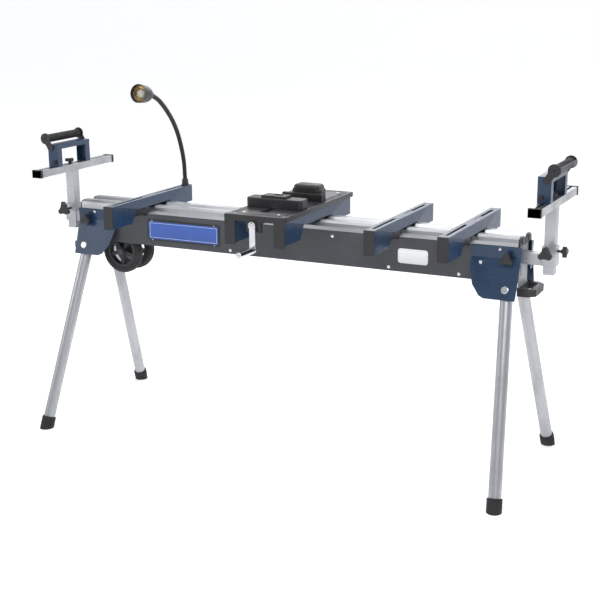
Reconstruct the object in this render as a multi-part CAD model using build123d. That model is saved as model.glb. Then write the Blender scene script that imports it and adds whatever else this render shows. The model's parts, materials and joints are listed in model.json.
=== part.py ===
from build123d import *
import os
from math import atan2, cos, degrees, radians, sin, tan

# Folding work stand for a mitre saw, with end supports, sliding saw brackets,
# a screw vise and a flexible lamp. Millimetres, +Z up, +X along the beam, front at -Y.
# The origin is on the floor under the middle of the whole stand's outline. The drawing
# below is centred on the beam, and save() moves it by FRAME_SHIFT into that frame.

# ---- driving dimensions -------------------------------------------------
BEAM_LENGTH = 1560.0          # rail extrusion, end to end
BEAM_HALF = BEAM_LENGTH / 2
RAIL_HALF_WIDTH = 62.0
RAIL_BASE = 738.0             # underside of the rail extrusion
RAIL_TOP = 766.0
RAIL_WALL = 3.0
PANEL_OUTER = 60.5            # outer face of the folded side panels
PANEL_SHEET = 2.5
PANEL_BASE = 628.0
PANEL_NOTCH_X = 712.0         # beyond this the panel is notched for the legs
PANEL_NOTCH_TOP = 656.0

FRAME_SHIFT = 36.25           # +Y, half of how much further the crank reaches than the feet

LEG_RADIUS = 19.0
LEG_WALL = 2.0
PIVOT_X = 754.0
PIVOT_Y = 74.0
PIVOT_Z = 606.0
FOOT_X = 806.0
FOOT_Y = 297.0
FOOT_RADIUS = 23.0
FOOT_HEIGHT = 40.0
LEG_ABOVE_PIVOT = 20.0
PLATE_SHEET = 3.0             # leg brackets
PLATE_GAP = 1.5               # between a leg tube and the plates beside it
PIVOT_BOLT = 6.0              # radius

ARM_SIZE = 35.0
ARM_WALL = 2.5
ARM_Z = 697.5
ARM_INNER_END = 300.0
POST_X = 860.0
POST_SIZE = 32.0
POST_WALL = 2.0
POST_BASE = 653.0
POST_TOP = 857.0
SLEEVE_SIZE = 42.0
SLEEVE_BASE = 680.0
SLEEVE_TOP = 740.0
SLIDE_GAP = 0.3               # each side of a sliding tube
ARM_GUIDES = ((728.0, 778.0), (520.0, 550.0))
KNOB_X = 753.0                # knob that clamps an arm in the beam
KNOB_LIFT = 5.0               # above the middle of the arm
KNOB_SHANK = 4.0              # radius of the clamp screws
POST_KNOB_Z = 724.0

BAR_WIDTH = 36.0
BAR_HEIGHT = 24.0
BAR_WALL = 3.0
BAR_SLOT = 9.0
BAR_FRONT = -190.0
BAR_REAR = 220.0
BAR_TOP = POST_TOP + BAR_HEIGHT

HEAD_Y = -10.0                # middle of a support head
HEAD_HALF = 92.0
HEAD_WIDTH = 40.0
HEAD_SHEET = 2.0
UPRIGHT_DEPTH = 24.0
HEAD_TOP = 958.0
RAIL_STRIP = 16.0             # depth of the strip that joins the uprights
FLIP_OFFSET = 8.0             # flip pivot, outward from the post centre
FLIP_Z = 948.0
FLIP_PIN = 4.0
FLIP_PLATE = 4.0
ROLLER_OFFSET = 27.0
ROLLER_Z = 977.0
ROLLER_RADIUS = 14.0
ROLLER_PIN = 4.0

WHEEL_X = -633.0
WHEEL_Z = 593.0
WHEEL_RADIUS = 76.0
WHEEL_OUTER_Y = 50.0
WHEEL_INNER_Y = 22.5
AXLE_RADIUS = 6.0

BRACKET_TOP = 798.0
BRACKET_WIDTH = 33.0
BRACKET_FRONT = -282.0
BRACKET_REAR = 208.0
BRACKET_BASE = 724.0
BRACKET_SHEET = 2.5
BRACKET_X = {"left": -512.0, "middle": 400.0, "right": 626.0}
CUTOUT_TOP = 769.0            # underside of a bracket wall over the rail
CUTOUT_FRONT = -143.0
CUTOUT_FOOT = -174.0
HOOK_FRONT = 65.0
HOOK_BASE = 740.0
FLARE = 9.0                   # outward fold of the wall above the rail
SLOT_WIDTH = 9.0
SLOT_LENGTH = 172.0
SLOT_CENTRES = (-170.0, 86.0)

LEVER_PIVOT_Y = -205.0
LEVER_PIVOT_Z = 752.0
LEVER_PIN = 4.0

VISE_LEFT = -78.0
VISE_RIGHT = 125.0
VISE_FRONT = -275.0
VISE_REAR = 222.0
VISE_TOP = 812.0
VISE_SHEET = 6.0
SCREW_X = 23.0
SCREW_Z = 784.0
SCREW_RADIUS = 7.0
TOOTH_PITCH = 10.0
TOOTH_WIDTH = 4.5
TOOTH_LENGTH = 20.0
JAW_SLOT = 13.0               # half width of the slot that guides the moving jaw
JAW_BASE = VISE_TOP + SLIDE_GAP
CRANK_THROW = 76.0

LAMP_Y = 190.0
NECK_RADIUS = 8.0
LAMP_TIP = (-8.0, 1132.0)     # end of the neck, in (Y, Z)
LAMP_TILT = 8.0               # degrees above level that the shade points

SIDES = {"left": -1.0, "right": 1.0}
FACES = {"front": -1.0, "rear": 1.0}

# the legs lie in a plane that leans outward by this much
LEAN = atan2(FOOT_Y - PIVOT_Y, PIVOT_Z)


# ---- small helpers ------------------------------------------------------
def block(x0, x1, y0, y1, z0, z1):
    """A box from its two corners."""
    centre = Pos((x0 + x1) / 2, (y0 + y1) / 2, (z0 + z1) / 2)
    return centre * Box(abs(x1 - x0), abs(y1 - y0), abs(z1 - z0))


def rod(start, end, radius):
    """A round bar between two points."""
    start, end = Vector(*start), Vector(*end)
    direction = end - start
    plane = Plane(origin=start, z_dir=direction)
    return plane * Cylinder(radius, direction.length, align=(Align.CENTER, Align.CENTER, Align.MIN))


def side_profile(points, x0, x1):
    """An outline in (Y, Z), made solid from x0 to x1."""
    outline = Polyline(*[(y, z) for y, z in points], close=True)
    face = make_face(Plane.YZ * outline)
    return Pos(x0, 0, 0) * extrude(face, amount=x1 - x0, dir=(1, 0, 0))


def front_profile(points, y0, y1):
    """An outline in (X, Z), made solid from y0 to y1."""
    wire = Polyline(*[(x, 0, z) for x, z in points], close=True)
    return Pos(0, y0, 0) * extrude(make_face(wire), amount=y1 - y0, dir=(0, 1, 0))


def facets(faces):
    """A closed solid from flat faces, each a list of 3-D points."""
    skins = [Face(Polyline(*points, close=True).wire()) for points in faces]
    return Solid(Shell(skins))


def mirrored(shape, side, face=1.0):
    """Mirror a right-hand, rear piece to another end or face of the stand."""
    if side < 0:
        shape = mirror(shape, about=Plane.YZ)
    if face < 0:
        shape = mirror(shape, about=Plane.XZ)
    return shape


def save(name, *solids):
    """Write one named node."""
    pieces = []
    for solid in solids:
        pieces.extend(Pos(0, FRAME_SHIFT, 0) * piece for piece in solid.solids())
    shape = pieces[0] if len(pieces) == 1 else Compound(children=pieces)
    export_step(shape, f"parts/{name}.step")


os.makedirs("parts", exist_ok=True)


# ---- beam ---------------------------------------------------------------
def rail_extrusion():
    """Two rounded rails joined by a lower web, with two hollow chambers."""
    shoulder, flat_outer, flat_inner = 750.0, 44.0, 22.0
    web_half, web_top, groove_top = 12.0, 757.0, 0.8
    half = [
        (RAIL_HALF_WIDTH, RAIL_BASE), (RAIL_HALF_WIDTH, shoulder), (57.0, 760.5), (flat_outer, RAIL_TOP),
        (flat_inner, RAIL_TOP - groove_top), (web_half, web_top),
    ]
    outline = half + [(-y, z) for y, z in reversed(half)]
    body = side_profile(outline, -BEAM_HALF, BEAM_HALF)
    chamber = [(58.0, RAIL_BASE + RAIL_WALL), (58.0, 750.0), (43.0, RAIL_TOP - RAIL_WALL),
               (24.0, RAIL_TOP - RAIL_WALL), (15.0, RAIL_BASE + RAIL_WALL)]
    reach = BEAM_HALF + 1
    body -= side_profile(chamber, -reach, reach)
    body -= side_profile([(-y, z) for y, z in chamber], -reach, reach)
    groove_half, groove_depth = 0.8, 0.9
    for y in (-38.0, -30.0, 30.0, 38.0):
        body -= block(-reach, reach, y - groove_half, y + groove_half, RAIL_TOP - groove_depth, RAIL_TOP + 1)
    return body


def rail_end_caps():
    """Moulded plugs that close the two ends of the rail."""
    depth = 5.0
    outline = [(61.0, RAIL_BASE + 0.5), (61.0, 750.0), (56.0, 759.5), (43.0, 764.5), (22.0, 764.5), (12.0, 756.0)]
    outline = outline + [(-y, z) for y, z in reversed(outline)]
    cap = side_profile(outline, BEAM_HALF, BEAM_HALF + depth)
    for y in (-34.0, 34.0):
        cap += rod((BEAM_HALF + depth, y, 752.0), (BEAM_HALF + depth + 2, y, 752.0), 8.0)
    return [mirrored(cap, side) for side in SIDES.values()]


def side_panel(face):
    """A folded steel side of the beam, with a small lip inward along its lower edge."""
    lip = 6.0
    sheet = block(-BEAM_HALF + 2, BEAM_HALF - 2, PANEL_OUTER - PANEL_SHEET, PANEL_OUTER, PANEL_BASE, RAIL_BASE)
    sheet += block(-BEAM_HALF + 2, BEAM_HALF - 2, PANEL_OUTER - lip, PANEL_OUTER,
                   PANEL_BASE, PANEL_BASE + PANEL_SHEET)
    for side in SIDES.values():
        sheet -= block(side * PANEL_NOTCH_X, side * (BEAM_HALF + 1), 0, PANEL_OUTER + 1,
                       PANEL_BASE - 1, PANEL_NOTCH_TOP)
        knob_start = (side * KNOB_X, 0, ARM_Z + KNOB_LIFT)
        sheet -= rod(knob_start, (side * KNOB_X, 90, ARM_Z + KNOB_LIFT), KNOB_SHANK + 1)
    return mirrored(sheet, 1.0, face)


def arm_guides():
    """Plastic blocks that carry the square arms inside the beam."""
    clear = ARM_SIZE / 2 + SLIDE_GAP
    base, top, half = 656.5, RAIL_BASE, PANEL_OUTER - PANEL_SHEET
    guides = []
    for x0, x1 in ARM_GUIDES:
        guide = block(x0, x1, -half, half, base, top)
        guide -= block(x0 - 1, x1 + 1, -clear, clear, ARM_Z - clear, ARM_Z + clear)
        if x1 > KNOB_X > x0:
            for face in FACES.values():
                start, end = (KNOB_X, 0, ARM_Z + KNOB_LIFT), (KNOB_X, face * 70, ARM_Z + KNOB_LIFT)
                guide -= rod(start, end, KNOB_SHANK + 0.3)
        guides += [mirrored(guide, side) for side in SIDES.values()]
    return guides


def end_plate(side):
    """Steel end plate of the beam, open for the arm; the carrying handle bolts to it."""
    clear = ARM_SIZE / 2 + 1.5
    plate = block(BEAM_HALF - 2, BEAM_HALF + 1, -43, 43, 584, RAIL_BASE - 0.5)
    plate -= block(BEAM_HALF - 3, BEAM_HALF + 4, -clear, clear, ARM_Z - clear, ARM_Z + clear)
    return mirrored(plate, side)


def carry_handle(side):
    """Flat loop handle at the end of the beam."""
    inner, outer, half, bar, base, top = BEAM_HALF + 1, 834.0, 62.0, 17.0, 590.0, 611.0
    corner = 20.0
    loop = [(inner, -half), (outer - corner, -half), (outer, -half + corner),
            (outer, half - corner), (outer - corner, half), (inner, half)]
    body = extrude(make_face(Polyline(*loop, close=True)), amount=top - base)
    cut = corner + bar / 3
    hole = [(inner + bar / 2, -half + bar), (outer - cut, -half + bar), (outer - bar, -half + cut),
            (outer - bar, half - cut), (outer - cut, half - bar), (inner + bar / 2, half - bar)]
    body -= extrude(make_face(Polyline(*hole, close=True)), amount=top - base)
    return mirrored(Pos(0, 0, base) * body, side)


save("rail_extrusion", rail_extrusion())
save("rail_end_caps", *rail_end_caps())
save("beam_panel_front", side_panel(FACES["front"]))
save("beam_panel_rear", side_panel(FACES["rear"]))
save("arm_guides", *arm_guides())
save("end_plates", *[end_plate(side) for side in SIDES.values()])
save("carry_handles", *[carry_handle(side) for side in SIDES.values()])


# ---- name plate and label, both blank -----------------------------------
def badge():
    """A blank name plate in a thin frame on the front panel."""
    x0, x1, z0, z1, rim = -512.0, -230.0, 647.0, 719.0, 6.0
    frame = block(x0, x1, -PANEL_OUTER - 2.0, -PANEL_OUTER, z0, z1)
    frame = fillet(frame.edges().filter_by(Axis.Y), 8.0)
    pocket = block(x0 + rim, x1 - rim, -PANEL_OUTER - 3.0, -PANEL_OUTER - 0.5, z0 + rim, z1 - rim)
    pocket = fillet(pocket.edges().filter_by(Axis.Y), 4.0)
    inset = rim + 0.2
    plate = block(x0 + inset, x1 - inset, -PANEL_OUTER - 1.6, -PANEL_OUTER - 0.5, z0 + inset, z1 - inset)
    plate = fillet(plate.edges().filter_by(Axis.Y), 3.8)
    return frame - pocket, plate


badge_frame, badge_plate = badge()
save("badge_frame", badge_frame)
save("badge_plate", badge_plate)
blank_label = block(402, 500, -PANEL_OUTER - 0.6, -PANEL_OUTER, 656, 702)
save("blank_label", fillet(blank_label.edges().filter_by(Axis.Y), 9.0))

screw_spots = [(-590.0, 722.0), (-190.0, 640.0), (180.0, 720.0),
               (540.0, 712.0), (372.0, 640.0), (600.0, 640.0)]
screws = []
for face in FACES.values():
    for x, z in screw_spots:
        screws.append(rod((x, face * PANEL_OUTER, z), (x, face * (PANEL_OUTER + 2.2), z), 5.0))


# ---- leg brackets and legs ----------------------------------------------
def leg_plate(side, face):
    """Outer plate: upright where it is bolted to the beam, leaning where the leg turns."""
    offset = LEG_RADIUS + PLATE_GAP
    flat_y = PANEL_OUTER + 0.5
    base_z, top_z = 585.0, RAIL_BASE - 0.5
    lean_y = PIVOT_Y + offset / cos(LEAN)          # leaning face at pivot height
    bend_z = PIVOT_Z + (lean_y - flat_y) / tan(LEAN)
    foot_y = lean_y + (PIVOT_Z - base_z) * tan(LEAN)
    skew = PLATE_SHEET / cos(LEAN)
    bend_shift = PLATE_SHEET * tan(LEAN / 2)
    section = [(flat_y, top_z), (flat_y, bend_z), (foot_y, base_z), (foot_y + skew, base_z),
               (flat_y + PLATE_SHEET, bend_z + bend_shift), (flat_y + PLATE_SHEET, top_z)]
    sheet = side_profile(section, 636, 792)
    outline = [(640, 740), (792, 740), (787, 580), (702, 580), (676, 592), (652, 622), (638, 668)]
    sheet &= front_profile(outline, 0, 200)
    sheet += block(789, 792, 45, flat_y + PLATE_SHEET, 652, top_z) & front_profile(outline, 0, 200)
    sheet -= rod((KNOB_X, 40, ARM_Z + KNOB_LIFT), (KNOB_X, 120, ARM_Z + KNOB_LIFT), KNOB_SHANK + 1)
    sheet -= rod((669, 40, 684), (669, 120, 684), 5.0)
    sheet -= leg_axis_rod(PIVOT_BOLT + 0.1, -40, 40)
    return mirrored(sheet, side, face)


def leg_axis_rod(radius, start, end):
    """A bar along a leg's turning axis, measured from the leg's centre line outward."""
    axis = Vector(0, cos(LEAN), sin(LEAN))
    pivot = Vector(PIVOT_X, PIVOT_Y, PIVOT_Z)
    return rod((pivot + axis * start), (pivot + axis * end), radius)


def inner_leg_plate(side, face):
    """Inner plate, parallel to the leg, that hangs from the end guide of the beam."""
    offset = LEG_RADIUS + PLATE_GAP
    top_z, base_z = 656.0, 580.0
    outer_y = PIVOT_Y - offset / cos(LEAN)
    skew = PLATE_SHEET / cos(LEAN)
    top_y = outer_y - (top_z - PIVOT_Z) * tan(LEAN)
    low_y = outer_y + (PIVOT_Z - base_z) * tan(LEAN)
    section = [(top_y, top_z), (low_y, base_z), (low_y - skew, base_z), (top_y - skew, top_z)]
    plate = side_profile(section, 730, 776)
    plate -= leg_axis_rod(PIVOT_BOLT + 0.1, -40, 40)
    return mirrored(plate, side, face)


def pivot_bolt(side, face):
    """Bolt through the outer plate, the leg and the inner plate, with its head and nut."""
    reach = LEG_RADIUS + PLATE_GAP + PLATE_SHEET
    bolt = leg_axis_rod(PIVOT_BOLT, -reach, reach)
    bolt += leg_axis_rod(10.0, reach, reach + 5)
    bolt += leg_axis_rod(9.0, -reach - 5, -reach)
    return mirrored(bolt, side, face)


def leg_direction():
    """Unit vector from a pivot down to its foot, for the right rear leg."""
    return Vector(FOOT_X - PIVOT_X, FOOT_Y - PIVOT_Y, -PIVOT_Z).normalized()


def leg_tube(side, face):
    """Round leg tube with a pivot hole."""
    pivot = Vector(PIVOT_X, PIVOT_Y, PIVOT_Z)
    foot = Vector(FOOT_X, FOOT_Y, 0)
    down = leg_direction()
    top, low = pivot - down * LEG_ABOVE_PIVOT, foot - down * 12
    tube = rod(top, low, LEG_RADIUS)
    tube -= rod((top - down), (low + down), LEG_RADIUS - LEG_WALL)
    tube -= leg_axis_rod(PIVOT_BOLT + 0.08, -40, 40)
    return mirrored(tube, side, face)


def leg_foot(side, face):
    """Rubber tip, cut flat where it stands on the floor."""
    foot = Vector(FOOT_X, FOOT_Y, 0)
    down = leg_direction()
    tip = rod((foot - down * FOOT_HEIGHT), (foot + down * 20), FOOT_RADIUS)
    tip -= rod((foot - down * 60), (foot - down * 12), LEG_RADIUS + 0.05)
    tip -= block(FOOT_X - 80, FOOT_X + 80, FOOT_Y - 80, FOOT_Y + 80, -60, 0)
    return mirrored(tip, side, face)


plates = []
for side_name, side in SIDES.items():
    for face_name, face in FACES.items():
        plates += [leg_plate(side, face), inner_leg_plate(side, face)]
        save(f"leg_tube_{face_name}_{side_name}", leg_tube(side, face))
        save(f"leg_foot_{face_name}_{side_name}", leg_foot(side, face))
        screws.append(pivot_bolt(side, face))
save("leg_plates", *plates)
save("beam_bolts", *screws)


# ---- transport wheels ---------------------------------------------------
def wheel_rim(face):
    """Spoked plastic wheel centre."""
    rim_outer, rim_inner, hub = 57.0, 47.0, 15.0
    y0, y1 = WHEEL_INNER_Y + 2, WHEEL_OUTER_Y - 2
    spot = (WHEEL_X, WHEEL_Z)
    rim = rod((spot[0], y0, spot[1]), (spot[0], y1, spot[1]), rim_outer)
    rim -= rod((spot[0], y0 - 1, spot[1]), (spot[0], y1 + 1, spot[1]), rim_inner)
    rim += rod((spot[0], WHEEL_INNER_Y, spot[1]), (spot[0], WHEEL_OUTER_Y, spot[1]), hub)
    spoke_count, spoke_width = 5, 13.0
    for index in range(spoke_count):
        spoke = block(hub - 3, rim_inner + 2, y0 + 6, y1 - 4, -spoke_width / 2, spoke_width / 2)
        rim += Pos(WHEEL_X, 0, WHEEL_Z) * Rot(0, 90 + index * 360 / spoke_count, 0) * spoke
    rim -= rod((spot[0], 0, spot[1]), (spot[0], 90, spot[1]), AXLE_RADIUS + 0.06)
    return mirrored(rim, 1.0, face)


def wheel_tyre(face):
    """Solid tyre with rounded shoulders."""
    tyre = rod((WHEEL_X, WHEEL_INNER_Y, WHEEL_Z), (WHEEL_X, WHEEL_OUTER_Y, WHEEL_Z), WHEEL_RADIUS)
    tyre = fillet(tyre.edges().filter_by(GeomType.CIRCLE), 6.0)
    tyre -= rod((WHEEL_X, 0, WHEEL_Z), (WHEEL_X, 90, WHEEL_Z), 57.05)
    return mirrored(tyre, 1.0, face)


def wheel_mount():
    """Pair of steel ears under the rail that carry the axle between the wheels."""
    ears = []
    for face in FACES.values():
        ear = block(WHEEL_X - 27, WHEEL_X + 27, face * 18.6, face * 21.6, WHEEL_Z - 16, RAIL_BASE)
        ear -= rod((WHEEL_X, -90, WHEEL_Z), (WHEEL_X, 90, WHEEL_Z), AXLE_RADIUS + 0.05)
        ears.append(ear)
    return ears


def wheel_axle():
    """Axle with a retaining cap at each end."""
    axle = rod((WHEEL_X, -WHEEL_OUTER_Y - 1, WHEEL_Z), (WHEEL_X, WHEEL_OUTER_Y + 1, WHEEL_Z), AXLE_RADIUS)
    for face in FACES.values():
        y0, y1 = sorted((face * (WHEEL_OUTER_Y + 0.5), face * (WHEEL_OUTER_Y + 4)))
        axle += rod((WHEEL_X, y0, WHEEL_Z), (WHEEL_X, y1, WHEEL_Z), 10.0)
    return axle


for face_name, face in FACES.items():
    save(f"wheel_rim_{face_name}", wheel_rim(face))
    save(f"wheel_tyre_{face_name}", wheel_tyre(face))
save("wheel_mount", wheel_axle(), *wheel_mount())


# ---- end supports: arm, post, cross bar, head, flip roller --------------
def square_tube(size, wall, length):
    """Square tube along Z from z = 0."""
    tube = Box(size, size, length, align=(Align.CENTER, Align.CENTER, Align.MIN))
    return tube - Box(size - 2 * wall, size - 2 * wall, length * 3)


def support_arm(side):
    """Square arm that slides in the beam, with the clamp sleeve for the post at its end."""
    length = POST_X - SLEEVE_SIZE / 2 - ARM_INNER_END
    arm = Pos(ARM_INNER_END, 0, ARM_Z) * Rot(0, 90, 0) * square_tube(ARM_SIZE, ARM_WALL, length)
    sleeve = block(POST_X - SLEEVE_SIZE / 2, POST_X + SLEEVE_SIZE / 2, -SLEEVE_SIZE / 2, SLEEVE_SIZE / 2,
                   SLEEVE_BASE, SLEEVE_TOP)
    clear = POST_SIZE / 2 + SLIDE_GAP
    sleeve -= block(POST_X - clear, POST_X + clear, -clear, clear, SLEEVE_BASE - 1, SLEEVE_TOP + 1)
    sleeve -= rod((POST_X, -40, POST_KNOB_Z), (POST_X, 0, POST_KNOB_Z), KNOB_SHANK + 0.3)
    sleeve -= rod((POST_X, 0, POST_KNOB_Z), (POST_X + 40, 0, POST_KNOB_Z), KNOB_SHANK + 0.3)
    return mirrored(arm + sleeve, side)


def soft_disc(radius, height):
    """Disc from z = 0 with an eased upper edge."""
    disc = Cylinder(radius, height, align=(Align.CENTER, Align.CENTER, Align.MIN))
    return chamfer(disc.edges().group_by(Axis.Z)[-1], 1.5)


def lobed_knob(lobes, radius, height):
    """Clamping knob along +Z: hub and lobes, from z = 0."""
    knob = soft_disc(radius * 0.62, height)
    for index in range(lobes):
        angle = radians(90 + index * 360 / lobes)
        spot = Pos(radius * 0.58 * cos(angle), radius * 0.58 * sin(angle), 0)
        knob += spot * soft_disc(radius * 0.42, height)
    return knob + Pos(0, 0, -6) * Cylinder(radius * 0.38, 12, align=(Align.CENTER, Align.CENTER, Align.MIN))


def post_front_knob(side):
    """Knob on the front of the sleeve, with its screw."""
    knob = Pos(POST_X, -52, POST_KNOB_Z) * Rot(90, 0, 0) * lobed_knob(3, 22, 16)
    knob += rod((POST_X, -POST_SIZE / 2 - 0.3, POST_KNOB_Z), (POST_X, -50, POST_KNOB_Z), KNOB_SHANK)
    return mirrored(knob, side)


def post_side_knob(side):
    """Smaller knob on the outer side of the sleeve."""
    knob = Pos(POST_X + 38, 0, POST_KNOB_Z) * Rot(0, 90, 0) * lobed_knob(3, 18, 12)
    knob += rod((POST_X + POST_SIZE / 2 + 0.3, 0, POST_KNOB_Z), (POST_X + 36, 0, POST_KNOB_Z), KNOB_SHANK)
    return mirrored(knob, side)


def arm_lock_knob(side):
    """Knob through the front panel that clamps the arm."""
    z = ARM_Z + KNOB_LIFT
    knob = Pos(KNOB_X, -76, z) * Rot(90, 0, 0) * lobed_knob(3, 21, 15)
    knob += rod((KNOB_X, -ARM_SIZE / 2 - 0.3, z), (KNOB_X, -74, z), KNOB_SHANK)
    return mirrored(knob, side)


def support_post(side):
    """Square height-setting post."""
    return mirrored(Pos(POST_X, 0, POST_BASE) * square_tube(POST_SIZE, POST_WALL, POST_TOP - POST_BASE), side)


def cross_bar(side):
    """Channel across the top of the post, slotted along its upper face."""
    x0, x1 = POST_X - BAR_WIDTH / 2, POST_X + BAR_WIDTH / 2
    bar = block(x0, x1, BAR_FRONT, BAR_REAR, POST_TOP, BAR_TOP)
    bar -= block(x0 + BAR_WALL, x1 - BAR_WALL, BAR_FRONT - 1, BAR_REAR + 1, POST_TOP + BAR_WALL, BAR_TOP - BAR_WALL)
    bar -= block(POST_X - BAR_SLOT / 2, POST_X + BAR_SLOT / 2, BAR_FRONT - 1, BAR_REAR + 1,
                 POST_TOP + BAR_WALL, BAR_TOP + 1)
    return mirrored(bar, side)


def bar_caps(side):
    """Moulded caps on the two ends of the cross bar."""
    x0, x1 = POST_X - BAR_WIDTH / 2 - 0.5, POST_X + BAR_WIDTH / 2 + 0.5
    caps = []
    for start, end in ((BAR_FRONT - 7, BAR_FRONT), (BAR_REAR, BAR_REAR + 7)):
        cap = block(x0, x1, start, end, POST_TOP - 0.5, BAR_TOP + 0.5)
        caps.append(mirrored(fillet(cap.edges().filter_by(Axis.Y), 3.0), side))
    return caps


def head_frame(side):
    """Two folded uprights joined by a strip along their tops."""
    x0, x1 = POST_X - HEAD_WIDTH / 2, POST_X + HEAD_WIDTH / 2
    frame = block(x0, x1, HEAD_Y - HEAD_HALF, HEAD_Y + HEAD_HALF, HEAD_TOP - RAIL_STRIP, HEAD_TOP)
    inner_half = HEAD_HALF - HEAD_SHEET
    frame -= block(x0 + HEAD_SHEET, x1 - HEAD_SHEET, HEAD_Y - inner_half, HEAD_Y + inner_half,
                   HEAD_TOP - RAIL_STRIP - 1, HEAD_TOP - HEAD_SHEET)
    for face in FACES.values():
        outer = HEAD_Y + face * HEAD_HALF
        inner = HEAD_Y + face * (HEAD_HALF - UPRIGHT_DEPTH)
        y0, y1 = sorted((outer, inner))
        upright = block(x0, x1, y0, y1, BAR_TOP + SLIDE_GAP, HEAD_TOP)
        upright -= block(x0 + HEAD_SHEET, x1 - HEAD_SHEET, *sorted((outer - face * HEAD_SHEET, inner - face)),
                         BAR_TOP + SLIDE_GAP + HEAD_SHEET, HEAD_TOP - HEAD_SHEET)
        frame += upright
    frame -= rod((POST_X + FLIP_OFFSET, -200, FLIP_Z), (POST_X + FLIP_OFFSET, 200, FLIP_Z), FLIP_PIN + 0.1)
    return mirrored(frame, side)


def head_knobs(side):
    """Clamp knob between the uprights, its bolt into the cross bar, and a side screw at each end."""
    knob = Pos(POST_X, HEAD_Y, BAR_TOP + 8) * lobed_knob(3, 17, 10)
    knob += rod((POST_X, HEAD_Y, BAR_TOP - 14), (POST_X, HEAD_Y, BAR_TOP + 9), KNOB_SHANK)
    pieces = [knob]
    for face in FACES.values():
        y = HEAD_Y + face * HEAD_HALF
        z = BAR_TOP + 16
        pieces.append(rod((POST_X - 8, y, z), (POST_X - 8, y + face * 8, z), 7.0))
    return [mirrored(piece, side) for piece in pieces]


def flip_cradle(side):
    """Cradle that carries the roller and turns on two pins at the top of the head."""
    pivot = (POST_X + FLIP_OFFSET, FLIP_Z)
    centre = (POST_X + ROLLER_OFFSET, ROLLER_Z)
    cradle = None
    for face in FACES.values():
        near = HEAD_Y + face * (HEAD_HALF + 0.5)
        far = near + face * FLIP_PLATE
        y0, y1 = sorted((near, far))
        plate = rod((pivot[0], y0, pivot[1]), (pivot[0], y1, pivot[1]), 12.0)
        plate += rod((centre[0], y0, centre[1]), (centre[0], y1, centre[1]), 19.0)
        angle = degrees(atan2(centre[1] - pivot[1], centre[0] - pivot[0]))
        web = Box(38.0, y1 - y0, 22.0)
        middle = ((pivot[0] + centre[0]) / 2, (y0 + y1) / 2, (pivot[1] + centre[1]) / 2)
        plate += Pos(*middle) * Rot(0, -angle, 0) * web
        inner = HEAD_Y + face * (HEAD_HALF - 8)
        pin_start, pin_end = sorted((inner, far))
        plate += rod((pivot[0], pin_start, pivot[1]), (pivot[0], pin_end, pivot[1]), FLIP_PIN)
        plate -= rod((centre[0], y0 - 1, centre[1]), (centre[0], y1 + 1, centre[1]), ROLLER_PIN + 0.08)
        cradle = plate if cradle is None else cradle + plate
    tie = block(POST_X + ROLLER_OFFSET + 15.5, POST_X + ROLLER_OFFSET + 18.5,
                HEAD_Y - HEAD_HALF - 1, HEAD_Y + HEAD_HALF + 1, ROLLER_Z - 8, ROLLER_Z + 8)
    return mirrored(cradle + tie, side)


def support_roller(side):
    """Roller with its axle stubs."""
    x = POST_X + ROLLER_OFFSET
    half = HEAD_HALF - 1.0
    roller = rod((x, HEAD_Y - half, ROLLER_Z), (x, HEAD_Y + half, ROLLER_Z), ROLLER_RADIUS)
    reach = HEAD_HALF + 0.5 + FLIP_PLATE
    roller += rod((x, HEAD_Y - reach, ROLLER_Z), (x, HEAD_Y + reach, ROLLER_Z), ROLLER_PIN)
    return mirrored(roller, side)


for side_name, side in SIDES.items():
    save(f"support_arm_{side_name}", support_arm(side))
    save(f"sleeve_knobs_{side_name}", post_front_knob(side), post_side_knob(side))
    save(f"arm_lock_knob_{side_name}", arm_lock_knob(side))
    save(f"support_post_{side_name}", support_post(side))
    save(f"cross_bar_{side_name}", cross_bar(side), *bar_caps(side))
    save(f"head_frame_{side_name}", head_frame(side))
    save(f"head_knobs_{side_name}", *head_knobs(side))
    save(f"flip_cradle_{side_name}", flip_cradle(side))
    save(f"support_roller_{side_name}", support_roller(side))


# ---- saw brackets -------------------------------------------------------
def bracket_side():
    """Side outline of a bracket, notched to sit over the rail."""
    return [(BRACKET_FRONT, BRACKET_TOP), (BRACKET_REAR, BRACKET_TOP), (BRACKET_REAR, HOOK_BASE),
            (HOOK_FRONT, HOOK_BASE), (HOOK_FRONT, CUTOUT_TOP), (CUTOUT_FRONT, CUTOUT_TOP),
            (CUTOUT_FOOT, BRACKET_BASE), (BRACKET_FRONT, BRACKET_BASE)]


def wall_flare(x):
    """Outward fold of the right wall where it passes over the rail."""
    top_front, top_rear = (x, BRACKET_FRONT + 6, BRACKET_TOP - 1), (x, BRACKET_REAR - 30, BRACKET_TOP - 1)
    low_front, low_rear = (x, CUTOUT_FRONT, CUTOUT_TOP), (x, HOOK_FRONT, CUTOUT_TOP)
    out_front, out_rear = (x + FLARE, CUTOUT_FRONT, CUTOUT_TOP), (x + FLARE, HOOK_FRONT - 20, CUTOUT_TOP)
    faces = [
        [top_front, top_rear, low_rear, low_front],
        [top_front, top_rear, out_rear],
        [top_front, out_rear, out_front],
        [top_front, low_front, out_front],
        [top_rear, low_rear, out_rear],
        [low_front, low_rear, out_rear, out_front],
    ]
    return facets(faces)


def channel_shell(width):
    """Folded sheet channel with the bracket's side outline, centred on x = 0."""
    half = width / 2
    shell = side_profile(bracket_side(), -half, half)
    ceiling, rear, below = BRACKET_TOP - BRACKET_SHEET, BRACKET_REAR - BRACKET_SHEET, BRACKET_BASE - 1
    hollow = [(BRACKET_FRONT - 1, ceiling), (rear, ceiling), (rear, below), (BRACKET_FRONT - 1, below)]
    shell -= side_profile(hollow, BRACKET_SHEET - half, half - BRACKET_SHEET)
    return shell


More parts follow.
